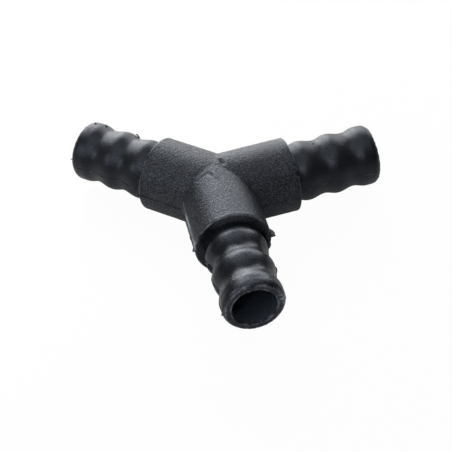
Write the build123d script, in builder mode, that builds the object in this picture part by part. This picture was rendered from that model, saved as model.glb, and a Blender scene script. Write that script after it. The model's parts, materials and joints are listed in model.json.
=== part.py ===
"""Three-way hose connector: a stem and two branches with ringed hose tails, moulded in one piece.

The axes of the three arms cross at the origin and lie in the plane Z = 0, which is also the plane
where the two halves of the mould meet. The stem points along -X and the branches lean towards +X.
"""

from build123d import *
import os
from math import cos, radians, sin

# Driving dimensions, in millimetres and degrees.
branch_angle = 95.0  # between the axes of the two branches

bore_diameter = 9.6
mouth_chamfer = 0.2  # on the inner edge of each mouth

sleeve_diameter = 17.0
stem_sleeve_length = 15.3  # from the crossing to the shoulder that stops the hose
branch_sleeve_length = 17.5
sleeve_edge_chamfer = 0.4
crotch_radius = 0.6  # inside rounding where two sleeves meet

ring_count = 3
crest_diameter = 13.6  # the hose stretches over this
groove_diameter = 12.7  # at the foot of each ring
ring_rise = 2.5  # length of the flank on the shoulder's side
ring_land = 1.6
ring_fall = 2.8  # length of the flank on the mouth's side
nose_length = 1.8  # rounding from the last crest to the mouth
mouth_diameter = 12.6  # outside, where the rounding meets the end face

flash_thickness = 0.3  # the thin web that the mould leaves in its parting plane
flash_height = 0.15  # how far it stands proud of a sleeve
flash_depth = 0.1  # how far it stays below the crests of the rings

# Radii and lengths that follow from them.
bore_radius = bore_diameter / 2
sleeve_radius = sleeve_diameter / 2
crest_radius = crest_diameter / 2
groove_radius = groove_diameter / 2
mouth_radius = mouth_diameter / 2
ring_pitch = ring_rise + ring_land + ring_fall
tail_length = ring_count * ring_pitch - ring_fall + nose_length

# Each arm: the heading of its axis from +X, and where its sleeve ends.
stem = (180, stem_sleeve_length)
left_branch = (branch_angle / 2, branch_sleeve_length)
right_branch = (-branch_angle / 2, branch_sleeve_length)
arms = [stem, left_branch, right_branch]


def arm_plane(heading):
    """The parting plane, turned so that its X runs out along the arm."""
    outward = (cos(radians(heading)), sin(radians(heading)), 0)
    return Plane(origin=(0, 0, 0), x_dir=outward, z_dir=(0, 0, 1))


def sleeve_line(shoulder):
    """The outside of the sleeve, from the crossing to the foot of its shoulder."""
    edge_start = (shoulder - sleeve_edge_chamfer, sleeve_radius)
    edge_end = (shoulder, sleeve_radius - sleeve_edge_chamfer)
    Polyline((0, 0), (0, sleeve_radius), edge_start)
    Polyline(edge_start, edge_end, (shoulder, groove_radius))


def ring_line(start, is_last):
    """One ring of the hose tail: rising flank, land, and the way down from it."""
    foot = (start, groove_radius)
    land_start = (foot[0] + ring_rise, crest_radius)
    land_end = (land_start[0] + ring_land, crest_radius)
    Polyline(foot, land_start, land_end)
    if is_last:
        TangentArc(land_end, (land_end[0] + nose_length, mouth_radius), tangent=(1, 0))
    else:
        Line(land_end, (land_end[0] + ring_fall, groove_radius))


def arm_outline(shoulder):
    """Half the section of an arm, closed along its axis."""
    mouth = shoulder + tail_length
    sleeve_line(shoulder)
    for ring in range(ring_count):
        ring_line(shoulder + ring * ring_pitch, ring == ring_count - 1)
    Polyline((mouth, mouth_radius), (mouth, 0), (0, 0))


def bore_outline(shoulder):
    """Half the section of an arm's bore, with its edge broken at the mouth."""
    mouth = shoulder + tail_length
    chamfer_start = (mouth - mouth_chamfer, bore_radius)
    chamfer_end = (mouth, bore_radius + mouth_chamfer)
    Polyline((0, 0), (0, bore_radius), chamfer_start, chamfer_end, (mouth, 0), (0, 0))


def flash_outline(shoulder):
    """The web along one arm: proud of the sleeve, and across the grooves of the tail."""
    sleeve_end = shoulder - sleeve_edge_chamfer
    last_land = shoulder + tail_length - nose_length
    web_half = crest_radius - flash_depth
    rib_half = sleeve_radius + flash_height
    Polyline(
        (0, rib_half),
        (sleeve_end, rib_half),
        (sleeve_end, web_half),
        (last_land, web_half),
        (last_land, -web_half),
        (sleeve_end, -web_half),
        (sleeve_end, -rib_half),
        (0, -rib_half),
        close=True,
    )


with BuildPart() as y_connector:
    for heading, shoulder in arms:
        with BuildSketch(arm_plane(heading)):
            with BuildLine():
                arm_outline(shoulder)
            make_face()
        revolve(axis=Axis((0, 0, 0), arm_plane(heading).x_dir))

    crotch_edges = y_connector.edges().filter_by(GeomType.ELLIPSE)
    fillet(crotch_edges, radius=crotch_radius)

    for heading, shoulder in arms:
        with BuildSketch(arm_plane(heading)):
            with BuildLine():
                flash_outline(shoulder)
            make_face()
        extrude(amount=flash_thickness / 2, both=True)

    for heading, shoulder in arms:
        with BuildSketch(arm_plane(heading)):
            with BuildLine():
                bore_outline(shoulder)
            make_face()
        revolve(axis=Axis((0, 0, 0), arm_plane(heading).x_dir), mode=Mode.SUBTRACT)

y_connector.part.label = "y_connector"
os.makedirs("parts", exist_ok=True)
export_step(y_connector.part, "parts/y_connector.step")
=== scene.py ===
"""Looks of a moulded three-way hose connector, laid out as a Blender add-on.

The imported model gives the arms, bores and hose seats. The operators below model the moulding
that is seen, with its rounded rings, grain, parting-line flash and small moulding marks.
All lengths are in metres.
"""

import json
import math

import bpy
from bpy.props import FloatProperty, FloatVectorProperty, IntProperty, PointerProperty
from mathutils import Matrix, Vector, noise


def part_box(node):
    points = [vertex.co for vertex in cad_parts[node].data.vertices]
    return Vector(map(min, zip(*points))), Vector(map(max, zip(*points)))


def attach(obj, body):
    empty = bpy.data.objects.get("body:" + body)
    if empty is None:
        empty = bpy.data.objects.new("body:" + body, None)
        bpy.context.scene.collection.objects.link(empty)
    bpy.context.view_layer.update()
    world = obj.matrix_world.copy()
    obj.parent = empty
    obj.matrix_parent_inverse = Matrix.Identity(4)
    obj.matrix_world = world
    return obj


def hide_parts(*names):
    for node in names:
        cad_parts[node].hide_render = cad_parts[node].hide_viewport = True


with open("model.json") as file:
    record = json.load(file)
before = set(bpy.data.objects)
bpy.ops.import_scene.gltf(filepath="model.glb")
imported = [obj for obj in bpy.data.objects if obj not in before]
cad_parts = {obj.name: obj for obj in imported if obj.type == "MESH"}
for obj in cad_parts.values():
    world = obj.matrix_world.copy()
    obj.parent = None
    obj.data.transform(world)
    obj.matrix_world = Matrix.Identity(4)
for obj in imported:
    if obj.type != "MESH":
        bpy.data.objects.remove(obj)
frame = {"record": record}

bl_info = {
    "name": "Moulded Hose Connector",
    "version": (1, 0, 0),
    "blender": (4, 5, 0),
    "location": "View3D > Sidebar > Connector",
    "description": "Models a moulded Y hose connector and its studio stage",
    "category": "Object",
}

NODE = "y_connector"
BODY = "root"
MM = 0.001
MOUNTS = {mount["name"]: mount for mount in frame["record"]["mounts"]}
CAD_LOW, CAD_HIGH = (Vector(corner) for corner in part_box(NODE))
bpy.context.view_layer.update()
UP = Vector((0, 0, 1))
ARM_NAMES = ("stem", "left_branch", "right_branch")
FRONT_ARM = "right_branch"


class ConnectorSizes(bpy.types.PropertyGroup):
    """Sizes of the moulding that the record's mounts don't give."""

    sleeve_radius: FloatProperty(
        name="Sleeve radius", description="Outer radius of the three sleeves",
        default=CAD_HIGH.z, unit="LENGTH", precision=5)
    sleeve_rounding: FloatProperty(
        name="Sleeve rounding", description="Rounding of a sleeve's outer edge at its shoulder",
        default=0.45 * MM, unit="LENGTH", precision=5)
    groove_radius: FloatProperty(
        name="Groove radius", description="Radius at the foot of each ring",
        default=6.20 * MM, unit="LENGTH", precision=5)
    mouth_radius: FloatProperty(
        name="Mouth radius", description="Outer radius of the flat face at each mouth",
        default=6.2 * MM, unit="LENGTH", precision=5)
    mouth_edge: FloatProperty(
        name="Mouth edge", description="Rounding of the bore's edge at each mouth",
        default=0.2 * MM, unit="LENGTH", precision=5)
    crest_swell: FloatProperty(
        name="Crest swell", description="How far a crest stands above the nominal hose seat",
        default=0.06 * MM, unit="LENGTH", precision=6)
    fin_thickness: FloatProperty(
        name="Fin thickness", description="Thickness of the flash along the parting line",
        default=0.30 * MM, unit="LENGTH", precision=5)
    fin_step: FloatProperty(
        name="Fin step", description="Spacing of the steps along a flash fin",
        default=0.25 * MM, unit="LENGTH", precision=5)
    ring_pitch: FloatProperty(
        name="Ring pitch", description="Distance from ring to ring",
        default=6.9 * MM, unit="LENGTH", precision=5)
    ring_rise: FloatProperty(
        name="Ring rise", description="Distance from the foot of a ring to its crest",
        default=3.1 * MM, unit="LENGTH", precision=5)
    seat_start: FloatProperty(
        name="Seat start", description="Distance from a shoulder to the start of its hose seat",
        default=2.5 * MM, unit="LENGTH", precision=5)
    nose_length: FloatProperty(
        name="Nose length", description="Length of the rounding from the last crest to the mouth",
        default=1.8 * MM, unit="LENGTH", precision=5)
    columns: IntProperty(
        name="Columns", description="Steps round each arm", default=176, min=24)
    station: FloatProperty(
        name="Station", description="Spacing of the steps along each arm",
        default=0.3 * MM, unit="LENGTH", precision=5)


class ConnectorFinish(bpy.types.PropertyGroup):
    """Colours and strengths of the plastic's finish, with the pale colour of its painted highlights
    and the painted light of its bores.
    """

    plastic: FloatVectorProperty(
        name="Plastic", description="Colour of the plastic", subtype="COLOR",
        size=3, default=(0.0050, 0.0056, 0.0076))
    # Also paints part of the pale line on the mouths' trimmed edges, as painted highlight.
    wear_and_edge_highlight: FloatVectorProperty(
        name="Worn plastic", description="Paler colour of scuffed grain tips and flash",
        subtype="COLOR", size=3, default=(0.105, 0.110, 0.125))
    grain_height: FloatProperty(
        name="Grain height", description="Height of the sleeves' grain",
        default=0.12 * MM, unit="LENGTH", precision=6)
    # Pale colour that paints the glint strips along the right branch and the highlight on its top;
    # on the mouths' trimmed edges it is partly wear and partly painted highlight.
    pale_wear_and_highlight: FloatVectorProperty(
        name="Scraped plastic", description="Pale colour where flash was scraped off",
        subtype="COLOR", size=3, default=(0.36, 0.40, 0.46))
    # Paler than the plastic: painted light on the bore walls, which the lamps hardly reach.
    bore: FloatVectorProperty(
        name="Bore wall", description="Colour of the smooth bore walls", subtype="COLOR",
        size=3, default=(0.032, 0.041, 0.055))
    sheen: FloatVectorProperty(
        name="Sheen", description="Tint of the plastic's reflections", subtype="COLOR",
        size=3, default=(0.74, 0.83, 1.0))
    index: FloatProperty(
        name="Refractive index", description="Sets how strongly the plastic mirrors head on",
        default=1.43, min=1.0)
    floor: FloatVectorProperty(
        name="Floor", description="Colour of the studio floor", subtype="COLOR",
        size=3, default=(0.60, 0.60, 0.60))


class ConnectorView(bpy.types.PropertyGroup):
    """Where the camera stands and what its lens takes in."""

    azimuth: FloatProperty(
        name="Azimuth", description="How far the camera is swung to the right of the front",
        default=math.radians(32.7567), subtype="ANGLE")
    elevation: FloatProperty(
        name="Elevation", description="How steeply the camera looks down",
        default=math.radians(42.6858), subtype="ANGLE")
    roll: FloatProperty(
        name="Roll", description="How far the camera is turned about its view",
        default=math.radians(-4.4364), subtype="ANGLE")
    distance: FloatProperty(
        name="Distance", description="From the camera to the point it aims at",
        default=312.927 * MM, unit="LENGTH", precision=5)
    aim: FloatVectorProperty(
        name="Aim", description="The point that the camera aims at", subtype="TRANSLATION",
        size=3, default=(4.197 * MM, -3.457 * MM, -5.614 * MM))
    focal_length: FloatProperty(
        name="Focal length", description="Focal length of the lens",
        default=111.07, unit="CAMERA")
    sensor: FloatProperty(
        name="Sensor", description="Width of the sensor", default=36.0, unit="CAMERA")
    nearest: FloatProperty(
        name="Nearest", description="Nearest distance that the camera sees",
        default=0.01, unit="LENGTH")


def context_sizes():
    return bpy.context.scene.connector_sizes


class Arm:
    """One arm of the connector: its axis, its side direction and its stations along the axis."""

    def __init__(self, name):
        bore = MOUNTS[name + "_bore"]
        seat = MOUNTS[name + "_hose_seat"]
        sizes = context_sizes()
        self.name = name
        self.axis = Vector(bore["axis"]).normalized()
        self.side = UP.cross(self.axis)
        self.bore_radius = bore["dims"]["r_mm"] * MM
        self.crest_radius = seat["dims"]["r_mm"] * MM + sizes.crest_swell
        self.mouth = bore["dims"]["length_mm"] * MM + sizes.mouth_edge
        seat_start = Vector(seat["pos_m"]).length - seat["dims"]["length_mm"] * MM / 2
        self.shoulder = seat_start - sizes.seat_start

    def heading(self):
        return math.atan2(self.axis.y, self.axis.x)

    def place(self, along, radius, angle=0.0):
        """A point on the arm: along its axis, at a radius, and at an angle from its side."""
        ring = self.side * math.cos(angle) + UP * math.sin(angle)
        return self.axis * along + ring * radius


def arms():
    return [Arm(name) for name in ARM_NAMES]


# Outline of an arm -------------------------------------------------------------------------------

NOSE_POWER = 2.6
NOSE_STEPS = 6
SLEEVE_EDGE_STEPS = 5
MOUTH_EDGE_STEPS = 3
FACE_STEPS = 4
# The bore is straight, so its steps are this many times as long as those outside.
BORE_COARSENESS = 3
# The arms share their stations over this many crest radii, so that their mitred edges weld.
SHARED_SHARE = 2.4


def steps(start, end, count):
    """The values from start to end in even steps, without start."""
    return [start + (end - start) * (k + 1) / count for k in range(count)]


def span(length):
    """How many stations a stretch of that length needs."""
    return max(1, round(length / context_sizes().station))


def ease(t):
    """From 0 to 1 with no slope at either end."""
    return (1 - math.cos(math.pi * t)) / 2


def corner(centre, radius, start, end, count):
    """Points on an arc round centre, from one angle to another, without the first."""
    return [(centre[0] + radius * math.cos(a), centre[1] + radius * math.sin(a))
            for a in steps(start, end, count)]


def ring_radius(past, sizes, arm):
    """Radius of the hose tail at a distance past its shoulder, up to the last crest."""
    last = round((arm.mouth - arm.shoulder - sizes.ring_rise) / sizes.ring_pitch)
    ring = min(int(past / sizes.ring_pitch), last)
    within = past - ring * sizes.ring_pitch
    height = arm.crest_radius - sizes.groove_radius
    if within < sizes.ring_rise:
        return sizes.groove_radius + height * ease(within / sizes.ring_rise)
    if ring == last:
        return arm.crest_radius
    fall = sizes.ring_pitch - sizes.ring_rise
    return arm.crest_radius - height * ease((within - sizes.ring_rise) / fall)


def nose_radius(past_crest, sizes, arm):
    """Radius of the rounded nose at a distance past the last crest."""
    drop = arm.crest_radius - sizes.mouth_radius
    return arm.crest_radius - drop * (past_crest / sizes.nose_length) ** NOSE_POWER


def arm_outline(arm, sizes):
    """Half the section of an arm: out along the sleeve and tail, and back along the bore."""
    rounding = sizes.sleeve_rounding
    inner = -arm.crest_radius
    edge = arm.shoulder - rounding
    meeting = inner + span(SHARED_SHARE * arm.crest_radius) * sizes.station
    points = [(inner, sizes.sleeve_radius)]
    points += [(s, sizes.sleeve_radius) for s in steps(inner, meeting, span(meeting - inner))]
    points += [(s, sizes.sleeve_radius) for s in steps(meeting, edge, span(edge - meeting))]
    quarter = math.pi / 2
    points += corner((edge, sizes.sleeve_radius - rounding), rounding, quarter, 0, SLEEVE_EDGE_STEPS)
    face_top = sizes.sleeve_radius - rounding
    points += [(arm.shoulder, r) for r in steps(face_top, sizes.groove_radius, FACE_STEPS)]
    crest_end = arm.mouth - sizes.nose_length
    tail = crest_end - arm.shoulder
    points += [(arm.shoulder + d, ring_radius(d, sizes, arm)) for d in steps(0, tail, span(tail))]
    nose = [sizes.nose_length * t for t in steps(0, 1, NOSE_STEPS)]
    points += [(crest_end + d, nose_radius(d, sizes, arm)) for d in nose]
    lip = arm.bore_radius + sizes.mouth_edge
    points += [(arm.mouth, r) for r in steps(sizes.mouth_radius, lip, FACE_STEPS)]
    centre = (arm.mouth - sizes.mouth_edge, lip)
    points += corner(centre, sizes.mouth_edge, 0, -quarter, MOUTH_EDGE_STEPS)
    bore_start = arm.mouth - sizes.mouth_edge
    for start, end in ((bore_start, meeting), (meeting, inner)):
        count = span(abs(end - start)) // BORE_COARSENESS
        points += [(s, arm.bore_radius) for s in steps(start, end, count)]
    return points


# Helpers for selecting and finishing -------------------------------------------------------------

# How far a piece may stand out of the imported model's box before it counts as a fault.
BOX_SLACK = 0.01 * MM


def clear_selection():
    if bpy.context.object and bpy.context.object.mode == "EDIT":
        bpy.ops.object.mode_set(mode="OBJECT")
    bpy.ops.object.select_all(action="DESELECT")


def make_active(piece):
    clear_selection()
    piece.select_set(True)
    bpy.context.view_layer.objects.active = piece


def select_vertices(piece, wanted):
    """Selects, in object mode, the vertices whose place passes the test, then enters edit mode."""
    make_active(piece)
    bpy.ops.object.mode_set(mode="EDIT")
    bpy.ops.mesh.select_mode(type="VERT")
    bpy.ops.mesh.select_all(action="DESELECT")
    bpy.ops.object.mode_set(mode="OBJECT")
    for vertex in piece.data.vertices:
        vertex.select = wanted(vertex.co)
    bpy.ops.object.mode_set(mode="EDIT")


def trace(name, points):
    """A chain of vertices through the points, extruded one by one from a plane merged to a point."""
    clear_selection()
    bpy.ops.mesh.primitive_plane_add(size=MM)
    piece = bpy.context.object
    piece.name = name
    piece.data.name = name
    bpy.ops.object.mode_set(mode="EDIT")
    bpy.ops.mesh.select_mode(type="VERT")
    bpy.ops.mesh.merge(type="CENTER")
    bpy.ops.transform.translate(value=points[0])
    for start, end in zip(points, points[1:]):
        bpy.ops.mesh.extrude_vertices_move(TRANSFORM_OT_translate={"value": end - start})
    bpy.ops.object.mode_set(mode="OBJECT")
    return piece


def join(pieces, name):
    """Joins the pieces into the first."""
    clear_selection()
    for piece in pieces:
        piece.select_set(True)
    bpy.context.view_layer.objects.active = pieces[0]
    bpy.ops.object.join()
    pieces[0].name = name
    pieces[0].data.name = name
    return pieces[0]


def weld(piece, gap):
    """Merges doubles and turns the faces outwards."""
    make_active(piece)
    bpy.ops.object.mode_set(mode="EDIT")
    bpy.ops.mesh.select_all(action="SELECT")
    bpy.ops.mesh.remove_doubles(threshold=gap)
    bpy.ops.mesh.normals_make_consistent(inside=False)
    bpy.ops.object.mode_set(mode="OBJECT")


def check_piece(piece):
    """Raises an error if a piece isn't closed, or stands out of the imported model's box."""
    select_vertices(piece, lambda place: False)
    bpy.ops.mesh.select_non_manifold()
    bpy.ops.object.mode_set(mode="OBJECT")
    faults = sum(vertex.select for vertex in piece.data.vertices)
    if faults or not piece.data.polygons:
        raise RuntimeError(f"{piece.name} isn't a closed mesh: {faults} vertices are at open edges")
    for axis in range(3):
        places = [vertex.co[axis] for vertex in piece.data.vertices]
        if min(places) < CAD_LOW[axis] - BOX_SLACK or max(places) > CAD_HIGH[axis] + BOX_SLACK:
            raise RuntimeError(f"{piece.name} stands out of the packed model's box")


def dress(piece, material, smooth_below):
    """Checks a finished piece, gives it its shading and material, and says what it rides on."""
    check_piece(piece)
    make_active(piece)
    bpy.ops.object.shade_smooth_by_angle(angle=math.radians(smooth_below))
    piece.data.materials.clear()
    piece.data.materials.append(material)
    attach(piece, BODY)


def add_mask(piece, name, weight_at):
    """A vertex group whose weight is worked out from each vertex's place."""
    group = piece.vertex_groups.new(name=name)
    for vertex in piece.data.vertices:
        weight = weight_at(vertex.co)
        if weight > 0:
            group.add([vertex.index], weight, "REPLACE")


def push_surface(piece, mask, pattern_size, strength, middle, depth):
    """Moves the surface in and out by a cloud pattern, within a mask."""
    pattern = bpy.data.textures.new(mask + "_pattern", "CLOUDS")
    pattern.noise_scale = pattern_size
    pattern.noise_depth = depth
    make_active(piece)
    modifier = piece.modifiers.new(mask, "DISPLACE")
    modifier.texture = pattern
    modifier.texture_coords = "LOCAL"
    modifier.vertex_group = mask
    modifier.strength = strength
    modifier.mid_level = middle
    bpy.ops.object.modifier_apply(modifier=modifier.name)
    bpy.data.textures.remove(pattern)


def press(piece, mask, depth):
    """Presses the surface in, within a mask."""
    make_active(piece)
    modifier = piece.modifiers.new(mask, "DISPLACE")
    modifier.vertex_group = mask
    modifier.strength = -depth
    modifier.mid_level = 0
    bpy.ops.object.modifier_apply(modifier=modifier.name)


def line_gap(point, start, end):
    """Distance from a point to the stretch between two others."""
    along = end - start
    t = (point - start).dot(along) / along.length_squared
    return (point - start - along * min(1.0, max(0.0, t))).length


def ribbon(name, first, second, thickness):
    """A thin closed strip between two rows of points."""
    piece = join([trace(name, first), trace(name + "_edge", second)], name)
    make_active(piece)
    bpy.ops.object.mode_set(mode="EDIT")
    bpy.ops.mesh.select_mode(type="EDGE")
    bpy.ops.mesh.select_all(action="SELECT")
    bpy.ops.mesh.bridge_edge_loops()
    bpy.ops.mesh.select_all(action="SELECT")
    bpy.ops.mesh.normals_make_consistent(inside=False)
    bpy.ops.object.mode_set(mode="OBJECT")
    shell = piece.modifiers.new("thickness", "SOLIDIFY")
    shell.thickness = thickness
    shell.offset = 0
    bpy.ops.object.modifier_apply(modifier=shell.name)
    bpy.ops.object.mode_set(mode="EDIT")
    bpy.ops.mesh.select_all(action="SELECT")
    bpy.ops.mesh.normals_make_consistent(inside=False)
    bpy.ops.object.mode_set(mode="OBJECT")
    return piece


# Where a point is on the moulding ----------------------------------------------------------------

# The masks of the outside keep this far from a bore's wall.
WALL_MARGIN = 0.5 * MM
# The mask of a bore's wall reaches this far into the plastic.
BORE_SLACK = 0.05 * MM
# A point that is further than this outside a crest's radius is on a sleeve.
SLEEVE_MARGIN = 0.3 * MM
# The painted highlight on a ring reaches from its crest to this far below it.
CREST_DEPTH = 0.45 * MM

# Where masks fade, as distances past a shoulder.
SLEEVE_END = (-1.0 * MM, -0.2 * MM)
# The painted glint strip on the sleeve fades out here.
SLEEVE_GLINT_END = (-0.4 * MM, 0.0)
TAIL_START = (0.2 * MM, 0.8 * MM)
# Where masks fade, as distances past a mouth.
RIM_START = (-0.9 * MM, -0.1 * MM)
FACE_START = (-0.5 * MM, -0.1 * MM)
BORE_END = -0.1 * MM

# How far the wear and the painted highlight of an edge reach.
OUTER_EDGE_REACH = 0.45 * MM
INNER_EDGE_REACH = 0.35 * MM
SLEEVE_EDGE_REACH = 0.35 * MM
# The painted highlight line of a sleeve's edge, as distances past the shoulder and past the sleeve's
# radius.
SLEEVE_EDGE_PLACE = -0.1 * MM
SLEEVE_EDGE_TOP = (-0.45 * MM, -0.15 * MM)
# Strength of the painted highlight along a sleeve's edge.
SLEEVE_EDGE_HIGHLIGHT = 0.8
# Strength of the painted glint strip along the right branch's tail.
TAIL_GLINT = 0.7

# Degrees round the right branch at which the painted glint strip on the sleeve and the painted
# highlight on the top start, are full, start to fade and end.
SLEEVE_GLINT_STRIP = (162, 167, 188, 196)
SHEEN_TOP = (40, 75, 105, 135)
# The painted glint strip on the tail is full at its left side, and fades between these degrees.
TAIL_GLINT_FADE = (14, 30)


def locate(point, arm_list):
    """The arm a point belongs to, its distance along that arm, and its distance from the axis."""
    arm = max(arm_list, key=lambda a: a.axis.dot(point))
    along = arm.axis.dot(point)
    return arm, along, (point - arm.axis * along).length


def smooth_step(value, low, high):
    t = min(1.0, max(0.0, (value - low) / (high - low)))
    return t * t * (3 - 2 * t)


def fade(distance, reach):
    """1 at no distance, falling evenly to 0 at the reach."""
    return max(0.0, 1 - distance / reach)


def band(value, start, full, hold, end):
    """1 between full and hold, fading to 0 at the start and the end."""
    return smooth_step(value, start, full) * (1 - smooth_step(value, hold, end))


def in_bore(arm, radius):
    return radius < arm.bore_radius + WALL_MARGIN


def angle_round(arm, point):
    """Degrees round an arm, from its left side, seen from the junction, over the top."""
    return math.degrees(math.atan2(point.z, point.dot(arm.side))) % 360


def sleeve_weight(point, arm_list):
    """1 on the outside of a sleeve, fading out at its rounded edge."""
    arm, along, radius = locate(point, arm_list)
    if radius < arm.crest_radius + SLEEVE_MARGIN:
        return 0.0
    return 1 - smooth_step(along - arm.shoulder, *SLEEVE_END)


def tail_weight(point, arm_list):
    """1 on the outside of a hose tail."""
    arm, along, radius = locate(point, arm_list)
    if in_bore(arm, radius):
        return 0.0
    return smooth_step(along - arm.shoulder, *TAIL_START)


def rim_weight(point, arm_list):
    """1 on the end face and the edges of each mouth."""
    arm, along, radius = locate(point, arm_list)
    return smooth_step(along - arm.mouth, *RIM_START)


def edge_wear_and_highlight_weight(point, arm_list):
    """1 on the trimmed edges of a mouth's end face, paler as wear and as painted highlight, and a
    little less on a sleeve's outer edge, where the paler line is painted highlight.
    """
    sizes = context_sizes()
    arm, along, radius = locate(point, arm_list)
    face = smooth_step(along - arm.mouth, *FACE_START)
    outer = fade(abs(radius - sizes.mouth_radius), OUTER_EDGE_REACH)
    inner = fade(abs(radius - arm.bore_radius - sizes.mouth_edge), INNER_EDGE_REACH)
    shoulder = fade(abs(along - arm.shoulder - SLEEVE_EDGE_PLACE), SLEEVE_EDGE_REACH)
    sleeve_edge = shoulder * smooth_step(radius - sizes.sleeve_radius, *SLEEVE_EDGE_TOP)
    return max(face * max(outer, inner), SLEEVE_EDGE_HIGHLIGHT * sleeve_edge)


def painted_glint_weight(point, arm_list):
    """1 on the painted glint strips of the right branch: along its sleeve beside one parting line,
    and along its tail beside the other.
    """
    arm, along, radius = locate(point, arm_list)
    if arm.name != FRONT_ARM or in_bore(arm, radius):
        return 0.0
    angle = angle_round(arm, point)
    on_sleeve = 1 - smooth_step(along - arm.shoulder, *SLEEVE_GLINT_END)
    sleeve_strip = band(angle, *SLEEVE_GLINT_STRIP) * on_sleeve
    beside_line = 1 - smooth_step(angle, *TAIL_GLINT_FADE)
    tail_strip = beside_line * smooth_step(along, arm.shoulder, arm.mouth)
    return max(sleeve_strip, TAIL_GLINT * tail_strip)


def painted_sheen_weight(point, arm_list):
    """1 along the top of the right branch, on its sleeve and on the crests of its rings, where a
    highlight is painted.
    """
    arm, along, radius = locate(point, arm_list)
    if arm.name != FRONT_ARM or in_bore(arm, radius):
        return 0.0
    crest = smooth_step(radius, arm.crest_radius - CREST_DEPTH, arm.crest_radius)
    return band(angle_round(arm, point), *SHEEN_TOP) * crest


def dull_weight(point, arm_list):
    """1 on the tails of the stem and the left branch, which are duller than the front one."""
    arm = locate(point, arm_list)[0]
    return 0.0 if arm.name == FRONT_ARM else tail_weight(point, arm_list)


def bore_painted_light_weight(point, arm_list):
    """1 on the wall of a bore, where painted light is laid."""
    arm, along, radius = locate(point, arm_list)
    on_wall = radius < arm.bore_radius + BORE_SLACK
    return 1.0 if on_wall and along < arm.mouth + BORE_END else 0.0


# Operators ---------------------------------------------------------------------------------------


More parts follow.
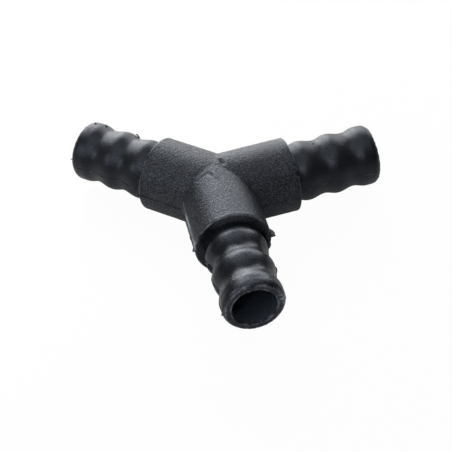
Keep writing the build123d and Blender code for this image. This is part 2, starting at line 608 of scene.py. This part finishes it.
class CONNECTOR_OT_body(bpy.types.Operator):
    """Spin the three arms, mitre them together and finish the moulding's surface"""

    bl_idname = "connector.body"
    bl_label = "Moulded Body"

    # The closest vertices that stay apart are farther from each other than the weld gap, so the
    # weld gives the same mesh whatever the order of the vertices.
    weld_gap = 0.002 * MM
    cut_gap = 0.001 * MM
    crease_reach = 0.5 * MM

    # Mask, pattern size (mm), strength (mm), level that stays in place, and depth of the pattern.
    settling = (
        ("sleeve", 5.0, 0.100, 0.9, 2),
        ("sleeve", 0.5, 0.022, 0.9, 1),
        ("tail", 3.2, 0.025, 0.6, 2),
        ("tail", 0.9, 0.014, 0.6, 2),
        ("rim", 0.6, 0.200, 1.0, 2),
    )

    # Distance along the right branch (mm) and angle round it of the knit line's ends and bend.
    knit_line = ((3.1, 122), (2.3, 102), (5.8, 90))
    knit_reach = 0.38 * MM
    knit_depth = 0.30 * MM

    # Ends (mm) of the notch where the three sleeves meet.
    notch = ((0.5, 2.0, 8.45), (1.7, 1.1, 8.40))
    notch_reach = 0.6 * MM
    notch_depth = 0.50 * MM

    def execute(self, context):
        sizes = context_sizes()
        arm_list = arms()
        parts = [self.spin_arm(arm, sizes, arm_list) for arm in arm_list]
        body = join(parts, "moulded_body")
        weld(body, self.weld_gap)
        self.round_crotches(body, arm_list)
        self.settle_surface(body, arm_list)
        self.press_marks(body, arm_list)
        self.note_wear_and_highlights(body, arm_list)
        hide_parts(NODE)
        dress(body, plastic_material(), smooth_below=50)
        return {"FINISHED"}

    def spin_arm(self, arm, sizes, arm_list):
        """One arm from its outline, cut along the mitre planes to its neighbours."""
        points = [Vector((s, r, 0)) for s, r in arm_outline(arm, sizes)]
        piece = trace(arm.name + "_blank", points)
        make_active(piece)
        bpy.ops.object.mode_set(mode="EDIT")
        bpy.ops.mesh.select_all(action="SELECT")
        bpy.ops.mesh.spin(
            steps=sizes.columns, angle=2 * math.pi, center=(0, 0, 0), axis=(1, 0, 0))
        bpy.ops.object.mode_set(mode="OBJECT")
        piece.rotation_euler = (0, 0, arm.heading())
        bpy.ops.object.transform_apply(location=True, rotation=True, scale=True)
        bpy.ops.object.mode_set(mode="EDIT")
        for other in arm_list:
            if other.name != arm.name:
                bpy.ops.mesh.select_all(action="SELECT")
                bpy.ops.mesh.bisect(
                    plane_co=(0, 0, 0), plane_no=(arm.axis - other.axis).normalized(),
                    clear_inner=True, threshold=self.cut_gap)
        bpy.ops.object.mode_set(mode="OBJECT")
        return piece

    def round_crotches(self, body, arm_list):
        """Softens the inside corners where two sleeves meet."""

        def near_mitre(point):
            first, second = sorted(arm_list, key=lambda a: -a.axis.dot(point))[:2]
            gap = (first.axis - second.axis).normalized().dot(point)
            radius = locate(point, arm_list)[2]
            return gap < self.crease_reach and radius > first.crest_radius

        select_vertices(body, near_mitre)
        bpy.ops.mesh.vertices_smooth(factor=0.5, repeat=2)
        bpy.ops.object.mode_set(mode="OBJECT")

    def settle_surface(self, body, arm_list):
        """The uneven shrink of the sleeves and tails, and their coarse grain."""
        add_mask(body, "sleeve", lambda p: sleeve_weight(p, arm_list))
        add_mask(body, "tail", lambda p: tail_weight(p, arm_list))
        add_mask(body, "rim", lambda p: rim_weight(p, arm_list))
        for mask, pattern_size, strength, middle, depth in self.settling:
            push_surface(body, mask, pattern_size * MM, strength * MM, middle, depth)

    def press_marks(self, body, arm_list):
        """The knit lines over the junction and the notch between the branches, pressed in."""
        front = next(arm for arm in arm_list if arm.name == FRONT_ARM)
        top = context_sizes().sleeve_radius
        left_end, bend, right_end = (
            front.place(along * MM, top, math.radians(angle)) for along, angle in self.knit_line)
        notch_start, notch_end = (Vector(place) * MM for place in self.notch)

        def knit_weight(point):
            gap = min(line_gap(point, left_end, bend), line_gap(point, bend, right_end))
            return fade(gap, self.knit_reach)

        def notch_weight(point):
            return fade(line_gap(point, notch_start, notch_end), self.notch_reach)

        add_mask(body, "knit_line", knit_weight)
        press(body, "knit_line", self.knit_depth)
        add_mask(body, "notch", notch_weight)
        press(body, "notch", self.notch_depth)

    def note_wear_and_highlights(self, body, arm_list):
        """Attributes that tell the finish where the grain, the wear, the painted highlights and the
        painted light of the bores are.
        """
        weights = {
            "grain": sleeve_weight, "edge_wear_and_highlight": edge_wear_and_highlight_weight, "painted_glint": painted_glint_weight,
            "painted_sheen": painted_sheen_weight, "dull": dull_weight, "bore_painted_light": bore_painted_light_weight}
        for name, weight in weights.items():
            attribute = body.data.attributes.new(name, "FLOAT", "POINT")
            attribute.data.foreach_set("value", [weight(v.co, arm_list) for v in body.data.vertices])


class Shed:
    """A place where the parting line sheds a taller tongue of flash."""

    def __init__(self, centre, reach, height):
        self.centre = centre * MM
        self.reach = reach * MM
        self.height = height * MM

    def at(self, along):
        return self.height * max(0.0, 1 - ((along - self.centre) / self.reach) ** 2)


class CONNECTOR_OT_flash(bpy.types.Operator):
    """Raise the thin ragged flash along the parting line of each arm"""

    bl_idname = "connector.flash"
    bl_label = "Parting Flash"

    # Fin height (mm) on each arm's right and left side, seen from the junction.
    heights = {"stem": (0.05, 0.08), "left_branch": (0.03, 0.03), "right_branch": (0.16, 0.10)}
    sheds = {
        ("right_branch", -1): (Shed(17.2, 0.8, 0.35), Shed(23.4, 1.5, 0.50), Shed(30.2, 1.1, 0.18)),
        ("right_branch", 1): (Shed(16.6, 1.6, 0.80), Shed(18.6, 2.4, 1.15), Shed(27.4, 1.2, 0.22)),
        ("stem", 1): (Shed(34.4, 0.6, 0.30),),
    }
    overlap = 0.2 * MM
    end_gap = 1.0 * MM
    rise_length = 2 * MM
    fall_length = 1 * MM
    root_depth = 0.3 * MM
    wander = 0.07 * MM
    # Cells of the ragged pattern in a metre, and what sets the two sides' patterns apart.
    ragged_rate = 900
    ragged_offset = 7
    # Height of a fin as a share of its base, and how far the coarse and fine patterns swing it.
    height_share = 0.75
    height_swing = 0.7
    fine_swing = 0.15
    # Rates of the fine pattern and of the wandering, as multiples of the coarse pattern's.
    fine_rate = 2.7
    wander_rate = 0.5

    def execute(self, context):
        sizes = context_sizes()
        arm_list = arms()
        fins = [self.fin(arm, side, sizes, arm_list) for arm in arm_list for side in (-1, 1)]
        flash = join(fins, "parting_flash")
        dress(flash, flash_material(), smooth_below=40)
        return {"FINISHED"}

    def crotch(self, arm, side, sizes, arm_list):
        """Distance along an arm at which its sleeve leaves its neighbour's on that side."""
        neighbour = next(
            other for other in arm_list
            if other.name != arm.name and other.axis.dot(arm.side) * side > 0)
        return sizes.sleeve_radius / math.tan(arm.axis.angle(neighbour.axis) / 2)

    def fin(self, arm, side, sizes, arm_list):
        """A ribbon that follows one side of an arm and stands out from it by a ragged height."""
        start = self.crotch(arm, side, sizes, arm_list) - self.overlap
        end = arm.mouth - self.end_gap
        base = self.heights[arm.name][0 if side < 0 else 1] * MM
        sheds = self.sheds.get((arm.name, side), ())
        count = round((end - start) / sizes.fin_step)
        roots = []
        tips = []
        for k in range(count + 1):
            along = start + (end - start) * k / count
            past = along - arm.shoulder
            wall = sizes.sleeve_radius if past < 0 else ring_radius(past, sizes, arm)
            taper = min(1.0, (along - start) / self.rise_length, (end - along) / self.fall_length)
            seed = arm.axis * along * self.ragged_rate + arm.side * side * self.ragged_offset
            height = base * (self.height_share + self.height_swing * noise.noise(seed)) * taper
            height += max((shed.at(along) for shed in sheds), default=0.0)
            height *= 1 + self.fine_swing * noise.noise(seed * self.fine_rate)
            lift = Vector((0, 0, self.wander * noise.noise(seed * self.wander_rate)))
            roots.append(arm.axis * along + arm.side * side * (wall - self.root_depth))
            tips.append(arm.axis * along + arm.side * side * (wall + height) + lift)
        return ribbon(arm.name + "_fin", roots, tips, sizes.fin_thickness)


class CONNECTOR_OT_slivers(bpy.types.Operator):
    """Leave a few curled slivers of plastic where the moulding was trimmed"""

    bl_idname = "connector.slivers"
    bl_label = "Trim Slivers"

    # Arm, distance along it (mm), angle round it (degrees), length, width and curl (mm).
    places = (
        ("stem", 23.4, 133, 1.5, 0.70, 0.60),
        ("stem", 31.2, 122, 0.8, 0.40, 0.30),
        ("stem", 33.4, 112, 0.9, 0.40, 0.30),
        ("stem", 34.7, 17, 0.8, 0.35, 0.45),
        ("left_branch", 23.7, 80, 0.7, 0.35, 0.20),
        ("right_branch", 36.0, -168, 0.9, 0.50, 0.25),
    )
    sections = 6
    root_depth = 0.12 * MM
    taper = 0.85
    curl_angle = 2.2
    shortening = 0.3
    thickness_share = 0.7

    def execute(self, context):
        sizes = context_sizes()
        by_name = {arm.name: arm for arm in arms()}
        slivers = []
        for name, along, angle, length, width, curl in self.places:
            slivers.append(self.sliver(
                by_name[name], along * MM, math.radians(angle),
                length * MM, width * MM, curl * MM, sizes))
        piece = join(slivers, "trim_slivers")
        dress(piece, flash_material(), smooth_below=40)
        return {"FINISHED"}

    def sliver(self, arm, along, angle, length, width, curl, sizes):
        """A tapering ribbon that lies along the arm and curls away from it."""
        past = along - arm.shoulder
        crest_end = arm.mouth - sizes.nose_length - arm.shoulder
        if past > crest_end:
            wall = nose_radius(past - crest_end, sizes, arm)
        else:
            wall = ring_radius(past, sizes, arm)
        left = []
        right = []
        for k in range(self.sections + 1):
            t = k / self.sections
            spread = width / 2 * (1 - self.taper * t) / wall
            height = wall - self.root_depth + curl * math.sin(t * self.curl_angle)
            place = along - length / 2 + length * t * (1 - self.shortening * t)
            left.append(arm.place(place, height, angle - spread))
            right.append(arm.place(place, height, angle + spread))
        thickness = sizes.fin_thickness * self.thickness_share
        return ribbon(arm.name + "_sliver", left, right, thickness)


# Finish ------------------------------------------------------------------------------------------

# How many cells of each pattern fit in a metre.
COARSE_GRAIN = 3300.0
FINE_GRAIN = 6100.0
GRAIN_PITS = 1700.0
CLOUDING = 260.0
TORN_PATCHES = 700.0
FLASH_PATCHES = 900.0
GLINT_LINES = 1500.0

# Where each pattern starts to show, and where it is full.
GRAIN_TIPS = (0.79, 0.99)
TORN_LEVELS = (0.40, 0.62)
FLASH_LEVELS = (0.50, 0.80)
GLINT_LEVELS = (0.44, 0.60)

# How strongly each pattern shows where its attribute is 1: a slope and a base.
TIP_SHARE = (0.55, 0.07)
GLINT_SHARE = (0.85, 0.05)
SHEEN_SHARE = (0.15, 0.08)
RELIEF_SHARE = (0.75, 0.25)
TORN_SHARE = 0.30

# How much of the fine grain and of the pits is added to the coarse grain.
FINE_SHARE = 0.6
PIT_SHARE = 0.6

# Strength of the fine relief, and its height as a share of the grain's.
FINE_RELIEF = 0.45
FINE_HEIGHT = 0.4

# The lines that break up the painted glint strips run along the right branch, and are this many
# times as long as wide.
GLINT_STRETCH = 7.0

# Roughness of the smooth plastic, and what the sleeves, the clouding and the dull tails add.
SMOOTH_ROUGHNESS = 0.19
SLEEVE_ROUGHNESS = 0.17
CLOUD_ROUGHNESS = 0.16
DULL_ROUGHNESS = 0.10
FLASH_ROUGHNESS = 0.36


class NodeBuilder:
    """Adds and links shader nodes in one short call each."""

    def __init__(self, name):
        self.material = bpy.data.materials.new(name)
        self.material.use_nodes = True
        self.tree = self.material.node_tree
        self.shader = self.tree.nodes["Principled BSDF"]

    def add(self, kind, inputs=None, **settings):
        node = self.tree.nodes.new(kind)
        for name, value in settings.items():
            setattr(node, name, value)
        for name, value in (inputs or {}).items():
            if isinstance(value, bpy.types.NodeSocket):
                self.tree.links.new(value, node.inputs[name])
            else:
                node.inputs[name].default_value = value
        return node

    def attribute(self, name):
        return self.add("ShaderNodeAttribute", attribute_name=name).outputs["Fac"]

    def ramp(self, value, levels):
        """A value stretched so that the first level becomes 0 and the second 1, and held there."""
        low, high = levels
        node = self.add("ShaderNodeMapRange", {
            "Value": value, "From Min": low, "From Max": high, "To Min": 0.0, "To Max": 1.0})
        return node.outputs["Result"]

    def math(self, operation, first, second):
        return self.add("ShaderNodeMath", {0: first, 1: second}, operation=operation).outputs[0]

    def line(self, value, share):
        """A value times a slope, plus a base."""
        slope, base = share
        return self.math("ADD", self.math("MULTIPLY", value, slope), base)

    def mix(self, share, first, second):
        """The first colour where the share is 0, the second where it is 1, and between elsewhere."""
        node = self.add("ShaderNodeMix", {"Factor": share, "A": first, "B": second},
                        data_type="RGBA")
        return node.outputs["Result"]

    def set_input(self, name, value):
        """Links a pattern to an input of the shader, or sets the input to a constant."""
        socket = self.shader.inputs[name]
        if isinstance(value, bpy.types.NodeSocket):
            self.tree.links.new(value, socket)
        else:
            socket.default_value = value

    def noise(self, place, scale, detail):
        node = self.add("ShaderNodeTexNoise", {"Vector": place, "Scale": scale, "Detail": detail})
        return node.outputs["Fac"]


def flash_material():
    """The plastic where it is thin and freshly torn, a little paler and glossier."""
    finish = bpy.context.scene.connector_finish
    build = NodeBuilder("flash_plastic")
    place = build.add("ShaderNodeTexCoord").outputs["Object"]
    patches = build.ramp(build.noise(place, FLASH_PATCHES, detail=3.0), FLASH_LEVELS)
    build.set_input("Base Color", build.mix(patches, (*finish.plastic, 1), (*finish.wear_and_edge_highlight, 1)))
    build.set_input("Roughness", FLASH_ROUGHNESS)
    build.set_input("Specular Tint", (*finish.sheen, 1))
    build.set_input("IOR", finish.index)
    return build.material


def plastic_material():
    """Charcoal plastic: spark-eroded grain on the sleeves and a smoother satin on the tails."""
    finish = bpy.context.scene.connector_finish
    build = NodeBuilder("charcoal_plastic")
    place = build.add("ShaderNodeTexCoord").outputs["Object"]
    coarse = build.noise(place, COARSE_GRAIN, detail=1.0)
    fine = build.noise(place, FINE_GRAIN, detail=1.0)
    build.set_input("Base Color", plastic_colour(build, finish, place, coarse, fine))
    build.set_input("Roughness", plastic_roughness(build, place))
    build.set_input("Normal", plastic_relief(build, finish, place, coarse, fine))
    build.set_input("Specular Tint", (*finish.sheen, 1))
    build.set_input("IOR", finish.index)
    return build.material


def plastic_colour(build, finish, place, coarse, fine):
    """Dark plastic, paler on its grain tips and trimmed edges, with painted highlights on the edges,
    glint strips and top of the right branch, and painted light in the bores.
    """
    both = build.math("ADD", coarse, build.math("MULTIPLY", fine, FINE_SHARE))
    tips = build.ramp(both, GRAIN_TIPS)
    tip_share = build.line(build.attribute("grain"), TIP_SHARE)
    # The trimmed mouth edges are paler, partly as wear and partly as painted highlight.
    edge_wear_and_highlight = build.attribute("edge_wear_and_highlight")
    torn = build.ramp(build.noise(place, TORN_PATCHES, detail=3.0), TORN_LEVELS)
    wear_and_highlight_share = build.math(
        "ADD", build.math("MULTIPLY", tips, tip_share), build.math("MULTIPLY", edge_wear_and_highlight, torn))
    colour = build.mix(wear_and_highlight_share, (*finish.plastic, 1), (*finish.wear_and_edge_highlight, 1))

    # Painted glint strips along the right branch, broken into lines along it.
    drawn = build.add("ShaderNodeMapping", {
        "Vector": place, "Rotation": (0, 0, Arm(FRONT_ARM).heading()),
        "Scale": (GLINT_STRETCH, 1.0, 1.0)}, vector_type="TEXTURE").outputs["Vector"]
    lines = build.ramp(build.noise(drawn, GLINT_LINES, detail=2.0), GLINT_LEVELS)
    pale_wear_and_highlight = build.math("MULTIPLY", build.attribute("painted_glint"), build.line(lines, GLINT_SHARE))
    # The trimmed edges also take the pale colour, partly as painted highlight.
    torn_share = build.math("MULTIPLY", edge_wear_and_highlight, build.math("MULTIPLY", torn, TORN_SHARE))
    # Painted highlight along the top of the right branch and on its crests.
    painted_sheen = build.math("MULTIPLY", build.attribute("painted_sheen"), build.line(tips, SHEEN_SHARE))
    pale_share = build.math("MAXIMUM", build.math("MAXIMUM", pale_wear_and_highlight, torn_share), painted_sheen)
    colour = build.mix(pale_share, colour, (*finish.pale_wear_and_highlight, 1))
    # Painted light on the bore walls.
    return build.mix(build.attribute("bore_painted_light"), colour, (*finish.bore, 1))


def plastic_roughness(build, place):
    """Rougher on the grained sleeves, a little rougher on the dull tails, and cloudy all over."""
    sleeve = build.math("MULTIPLY", build.attribute("grain"), SLEEVE_ROUGHNESS)
    cloud = build.math("MULTIPLY", build.noise(place, CLOUDING, detail=3.0), CLOUD_ROUGHNESS)
    dull = build.math("MULTIPLY", build.attribute("dull"), DULL_ROUGHNESS)
    added = build.math("ADD", build.math("ADD", sleeve, cloud), dull)
    return build.math("ADD", added, SMOOTH_ROUGHNESS)


def plastic_relief(build, finish, place, coarse, fine):
    """The pitted grain, at full height on the sleeves, with a finer one over it."""
    pits = build.add("ShaderNodeTexVoronoi", {"Vector": place, "Scale": GRAIN_PITS},
                     feature="SMOOTH_F1").outputs["Distance"]
    first = build.add("ShaderNodeBump", {
        "Strength": build.line(build.attribute("grain"), RELIEF_SHARE),
        "Distance": finish.grain_height,
        "Height": build.math("ADD", coarse, build.math("MULTIPLY", pits, PIT_SHARE))})
    second = build.add("ShaderNodeBump", {
        "Strength": FINE_RELIEF, "Distance": finish.grain_height * FINE_HEIGHT, "Height": fine,
        "Normal": first.outputs["Normal"]})
    return second.outputs["Normal"]


# Stage -------------------------------------------------------------------------------------------


class CONNECTOR_OT_stage(bpy.types.Operator):
    """Set the floor, soft lights, white surroundings and camera"""

    bl_idname = "connector.stage"
    bl_label = "Studio Stage"

    floor_size = 3.0
    floor_gap = 0.02 * MM
    floor_roughness = 0.3
    floor_index = 1.9
    # How much of the floor is plain white to the camera, and in the plastic's reflections.
    floor_glow_seen = 0.97
    floor_glow_mirrored = 0.10
    surroundings_light = 0.10
    surroundings_seen = 1.0

    # Name, place (m), width (m), height (m) and power (W) of each lamp. All point at the junction.
    lamps = (
        ("back_softbox", (-0.17, 0.52, 0.22), 0.60, 0.40, 2.1),
        ("left_back_softbox", (-0.40, 0.36, 0.16), 0.34, 0.30, 1.35),
        ("left_softbox", (-0.37, 0.22, 0.36), 0.26, 0.22, 0.85),
        ("top_softbox", (0.02, -0.03, 0.60), 0.60, 0.50, 1.1),
        ("low_left_softbox", (-0.26, -0.45, 0.32), 0.32, 0.28, 0.85),
        ("front_strip", (0.12, -0.40, 0.40), 0.06, 0.32, 0.70),
    )

    def execute(self, context):
        self.add_floor()
        self.add_surroundings()
        self.add_lights()
        self.add_camera()
        context.scene.view_settings.view_transform = "Standard"
        return {"FINISHED"}

    def add_floor(self):
        """A pale, half-glossy floor just under the connector."""
        clear_selection()
        level = CAD_LOW.z - self.floor_gap
        bpy.ops.mesh.primitive_plane_add(size=self.floor_size, location=(0, 0, level))
        floor = bpy.context.object
        floor.name = "studio_floor"
        bpy.ops.object.transform_apply(location=True)
        build = NodeBuilder("studio_floor")
        build.set_input("Base Color", (*bpy.context.scene.connector_finish.floor, 1))
        build.set_input("Roughness", self.floor_roughness)
        build.set_input("IOR", self.floor_index)
        glow = build.add("ShaderNodeEmission", {"Color": (1, 1, 1, 1), "Strength": 1.0})
        path = build.add("ShaderNodeLightPath")
        seen = build.math("MULTIPLY", path.outputs["Is Camera Ray"], self.floor_glow_seen)
        mirrored = build.math(
            "MULTIPLY", path.outputs["Is Glossy Ray"], self.floor_glow_mirrored)
        share = build.math("MAXIMUM", seen, mirrored)
        mix = build.add("ShaderNodeMixShader", {
            "Fac": share, 1: build.shader.outputs["BSDF"], 2: glow.outputs["Emission"]})
        output = build.tree.nodes["Material Output"]
        build.tree.links.new(mix.outputs["Shader"], output.inputs["Surface"])
        floor.data.materials.append(build.material)

    def add_surroundings(self):
        """Even surroundings: full white to the camera, softer as light and in reflections."""
        world = bpy.data.worlds.new("white_surroundings")
        world.use_nodes = True
        tree = world.node_tree
        background = tree.nodes["Background"]
        background.inputs["Color"].default_value = (1, 1, 1, 1)
        path = tree.nodes.new("ShaderNodeLightPath")
        strength = tree.nodes.new("ShaderNodeMapRange")
        strength.inputs["To Min"].default_value = self.surroundings_light
        strength.inputs["To Max"].default_value = self.surroundings_seen
        tree.links.new(path.outputs["Is Camera Ray"], strength.inputs["Value"])
        tree.links.new(strength.outputs["Result"], background.inputs["Strength"])
        bpy.context.scene.world = world

    def add_lights(self):
        """Soft lamps round the connector, all turned to its junction."""
        for name, place, width, height, power in self.lamps:
            lamp = bpy.data.lights.new(name, "AREA")
            lamp.shape = "RECTANGLE"
            lamp.size = width
            lamp.size_y = height
            lamp.energy = power
            holder = bpy.data.objects.new(name, lamp)
            holder.location = place
            holder.rotation_euler = (-Vector(place)).to_track_quat("-Z", "Y").to_euler()
            bpy.context.scene.collection.objects.link(holder)

    def add_camera(self):
        """A long lens that looks down on the fitting from between its branches."""
        view = bpy.context.scene.connector_view
        lens = bpy.data.cameras.new("camera")
        lens.sensor_width = view.sensor
        lens.lens = view.focal_length
        lens.clip_start = view.nearest
        holder = bpy.data.objects.new("camera", lens)
        swing = Matrix.Rotation(view.azimuth, 4, "Z")
        tilt = Matrix.Rotation(math.pi / 2 - view.elevation, 4, "X")
        roll = Matrix.Rotation(view.roll, 4, "Z")
        back_off = Matrix.Translation((0, 0, view.distance))
        holder.matrix_world = Matrix.Translation(view.aim) @ swing @ tilt @ roll @ back_off
        bpy.context.scene.collection.objects.link(holder)
        bpy.context.scene.camera = holder


class CONNECTOR_PT_panel(bpy.types.Panel):
    """The connector's steps, in the order they are taken"""

    bl_label = "Connector"
    bl_idname = "CONNECTOR_PT_panel"
    bl_space_type = "VIEW_3D"
    bl_region_type = "UI"
    bl_category = "Connector"

    def draw(self, context):
        for step in STEPS:
            self.layout.operator(step.bl_idname)


STEPS = (CONNECTOR_OT_body, CONNECTOR_OT_flash, CONNECTOR_OT_slivers, CONNECTOR_OT_stage)
CLASSES = (ConnectorSizes, ConnectorFinish, ConnectorView, *STEPS, CONNECTOR_PT_panel)


def register():
    for cls in CLASSES:
        bpy.utils.register_class(cls)
    bpy.types.Scene.connector_sizes = PointerProperty(type=ConnectorSizes)
    bpy.types.Scene.connector_finish = PointerProperty(type=ConnectorFinish)
    bpy.types.Scene.connector_view = PointerProperty(type=ConnectorView)


def unregister():
    del bpy.types.Scene.connector_view
    del bpy.types.Scene.connector_finish
    del bpy.types.Scene.connector_sizes
    for cls in reversed(CLASSES):
        bpy.utils.unregister_class(cls)


def main():
    register()
    bpy.ops.connector.body()
    bpy.ops.connector.flash()
    bpy.ops.connector.slivers()
    bpy.ops.connector.stage()


if __name__ == "__main__":
    main()
